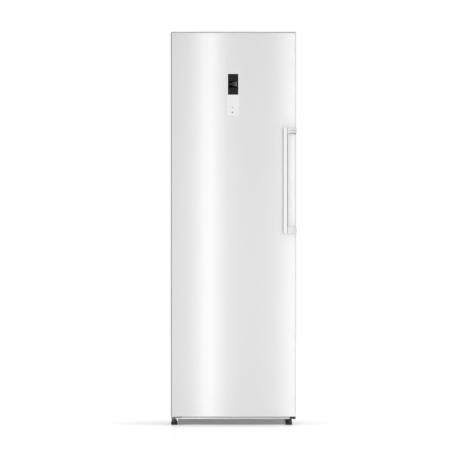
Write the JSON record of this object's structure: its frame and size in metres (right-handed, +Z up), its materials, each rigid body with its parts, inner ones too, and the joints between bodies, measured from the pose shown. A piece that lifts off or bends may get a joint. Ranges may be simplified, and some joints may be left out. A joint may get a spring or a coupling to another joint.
{
  "type": "upright freezer",
  "caption": "Tall free-standing upright freezer with one convex hinged door, bar handle, control panel, flaps and drawers inside.",
  "frame": {"origin": "on the floor, in the middle of the footprint", "axes": "+Z up, the door faces -Y, +X to the right seen from the front"},
  "size_m": [0.5995, 0.7, 1.87],
  "materials": {
    "door_paint": "gloss white stoved enamel on steel sheet",
    "cabinet_paint": "satin white stoved enamel on steel sheet",
    "cap_plastic": "satin white moulded caps and cover",
    "handle_white": "gloss white moulding",
    "panel_white": "gloss white frame and touch overlay",
    "window_black": "gloss black smoked window",
    "liner_white": "satin white vacuum-formed lining",
    "foam": "rigid polyurethane foam",
    "galvanised": "galvanised sheet",
    "plinth_grey": "satin mid-grey moulding",
    "black_plastic": "satin black moulding",
    "black_steel": "satin black enamel on steel",
    "hinge_steel": "zinc-plated steel",
    "gasket": "soft pale grey vinyl seal",
    "rubber_black": "black rubber",
    "copper": "drawn copper tube",
    "aluminium": "bare aluminium",
    "shelf_glass": "toughened float glass",
    "drawer_clear": "clear frosted moulding",
    "tub_white": "white moulding",
    "lens": "opal lens",
    "board_green": "green circuit board",
    "nylon": "natural nylon"
  },
  "bodies": {
    "cabinet": {"base_plate": "galvanised", "cabinet_insulation": "foam", "compressor": "black_steel", "compressor_mounts": "rubber_black", "condenser_tube": "black_steel", "condenser_wires": "black_steel", "defrost_heater": "aluminium", "door_stop_bracket": "black_steel", "drip_gutter": "aluminium", "drip_tray": "black_plastic", "evaporator": "aluminium", "evaporator_cover": "liner_white", "fan_motor": "black_plastic", "front_rail": "cabinet_paint", "glass_shelves": "shelf_glass", "hinge_bolts": "black_steel", "hinge_bottom_bracket": "hinge_steel", "hinge_top_bracket": "hinge_steel", "hinge_top_cover": "cap_plastic", "inner_liner": "liner_white", "kick_plate": "plinth_grey", "light_lens": "lens", "machine_cover": "galvanised", "machine_tray": "galvanised", "mains_inlet": "black_plastic", "rear_panel": "galvanised", "rear_spacers": "black_plastic", "refrigerant_tubes": "copper", "side_panels": "cabinet_paint", "start_relay_box": "black_plastic", "top_panel": "cabinet_paint"},
    "door": {"door_skin": "door_paint", "door_insulation": "foam", "door_liner": "liner_white", "door_gasket": "gasket", "door_top_cap": "cap_plastic", "door_bottom_cap": "cap_plastic", "hinge_bushes": "nylon", "handle": "handle_white", "handle_screws": "hinge_steel", "panel_frame": "panel_white", "display_window": "window_black", "key_pad": "panel_white", "display_board": "board_green"},
    "fan": {"fan_impeller": "nylon"},
    "foot_left": {"foot_left": "black_plastic"},
    "foot_right": {"foot_right": "black_plastic"},
    "roller_left": {"roller_left": "nylon"},
    "roller_right": {"roller_right": "nylon"},
    "flap_1": {"flap_1": "drawer_clear"},
    "flap_2": {"flap_2": "drawer_clear"},
    "flap_3": {"flap_3": "drawer_clear"},
    "drawer_1": {"drawer_tub_1": "tub_white", "drawer_front_1": "drawer_clear"},
    "drawer_2": {"drawer_tub_2": "tub_white", "drawer_front_2": "drawer_clear"},
    "drawer_3": {"drawer_tub_3": "tub_white", "drawer_front_3": "drawer_clear"},
    "drawer_4": {"drawer_tub_4": "tub_white", "drawer_front_4": "drawer_clear"}
  },
  "joints": [
    {"name": "door_hinge", "type": "hinge", "parent": "cabinet", "child": "door", "pos_m": [-0.285, -0.275, 0.95], "axis": [0, 0, -1], "range_deg": [0, 120]},
    {"name": "flap_1_hinge", "type": "hinge", "parent": "cabinet", "child": "flap_1", "pos_m": [0, -0.152, 1.764], "axis": [-1, 0, 0], "range_deg": [0, 80]},
    {"name": "flap_2_hinge", "type": "hinge", "parent": "cabinet", "child": "flap_2", "pos_m": [0, -0.152, 1.55], "axis": [-1, 0, 0], "range_deg": [0, 80]},
    {"name": "flap_3_hinge", "type": "hinge", "parent": "cabinet", "child": "flap_3", "pos_m": [0, -0.152, 1.34], "axis": [-1, 0, 0], "range_deg": [0, 80]},
    {"name": "drawer_1_slide", "type": "slide", "parent": "cabinet", "child": "drawer_1", "axis": [0, -1, 0], "range_m": [0, 0.2096]},
    {"name": "drawer_2_slide", "type": "slide", "parent": "cabinet", "child": "drawer_2", "axis": [0, -1, 0], "range_m": [0, 0.2096]},
    {"name": "drawer_3_slide", "type": "slide", "parent": "cabinet", "child": "drawer_3", "axis": [0, -1, 0], "range_m": [0, 0.2096]},
    {"name": "drawer_4_slide", "type": "slide", "parent": "cabinet", "child": "drawer_4", "axis": [0, -1, 0], "range_m": [0, 0.2096]},
    {"name": "fan_spin", "type": "hinge", "parent": "cabinet", "child": "fan", "pos_m": [0, 0.2275, 0.762], "axis": [0, 1, 0], "continuous": true},
    {"name": "foot_left_turn", "type": "hinge", "parent": "cabinet", "child": "foot_left", "pos_m": [-0.281, -0.215, 0.01], "axis": [0, 0, 1], "continuous": true},
    {"name": "foot_right_turn", "type": "hinge", "parent": "cabinet", "child": "foot_right", "pos_m": [0.264, -0.215, 0.01], "axis": [0, 0, 1], "continuous": true},
    {"name": "roller_left_spin", "type": "hinge", "parent": "cabinet", "child": "roller_left", "pos_m": [-0.255, 0.285, 0.015], "axis": [1, 0, 0], "continuous": true},
    {"name": "roller_right_spin", "type": "hinge", "parent": "cabinet", "child": "roller_right", "pos_m": [0.255, 0.285, 0.015], "axis": [1, 0, 0], "continuous": true}
  ],
  "couplings": [
    {"joint": "flap_1_hinge", "follows": "door_hinge", "ratio": 0.666},
    {"joint": "flap_2_hinge", "follows": "door_hinge", "ratio": 0.666},
    {"joint": "flap_3_hinge", "follows": "door_hinge", "ratio": 0.666},
    {"joint": "drawer_1_slide", "follows": "door_hinge", "m_per_rad": 0.1},
    {"joint": "drawer_2_slide", "follows": "door_hinge", "m_per_rad": 0.1},
    {"joint": "drawer_3_slide", "follows": "door_hinge", "m_per_rad": 0.1},
    {"joint": "drawer_4_slide", "follows": "door_hinge", "m_per_rad": 0.1}
  ]
}
